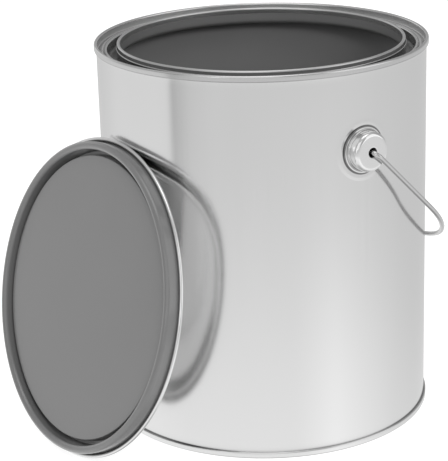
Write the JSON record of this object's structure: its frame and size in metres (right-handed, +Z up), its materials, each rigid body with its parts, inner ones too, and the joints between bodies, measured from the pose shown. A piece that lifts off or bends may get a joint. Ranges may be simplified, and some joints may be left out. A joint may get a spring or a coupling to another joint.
{
  "type": "paint can",
  "caption": "Round tinplate paint can, open, with a grey-lined plug lid leaning on its side and a wire bail handle on two ears.",
  "frame": {"origin": "centre of the can's foot, level with the floor the bottom seam stands on", "axes": "+Z up along the can's axis, the bail's two ears on +X and -X, the bail hanging towards +Y, the lid leaning on the -Y side"},
  "size_m": [0.1876, 0.2156, 0.194],
  "materials": {
    "tinplate_wall": "bright tinplate outside, grey lacquer inside",
    "tinplate_end": "bright tinplate",
    "tinplate_ring": "bright tinplate, grey lacquer on the inside",
    "seam_compound": "matt sealing compound, hidden in the seams",
    "ear_plate": "bright tinplate",
    "bail_steel": "zinc-plated steel wire",
    "lid_lined": "grey lacquer on the underside, bright tinplate on the top and the curled edge"
  },
  "bodies": {
    "can": {"body_shell": "tinplate_wall", "bottom_end": "tinplate_end", "top_ring": "tinplate_ring", "top_seam_compound": "seam_compound", "bottom_seam_compound": "seam_compound", "ear_right": "ear_plate", "ear_left": "ear_plate"},
    "bail": {"bail_wire": "bail_steel"},
    "lid": {"lid": "lid_lined"}
  },
  "joints": [
    {"name": "bail_swing", "type": "hinge", "parent": "can", "child": "bail", "pos_m": [0, 0, 0.1532], "axis": [1, 0, 0], "range_deg": [0, 230]},
    {"name": "lid_swing", "type": "hinge", "parent": "can", "child": "lid", "pos_m": [0.00203, -0.09791, 0.17631], "axis": [-0.9996, 0.017, 0.0209], "range_deg": [0, 255.27]}
  ]
}
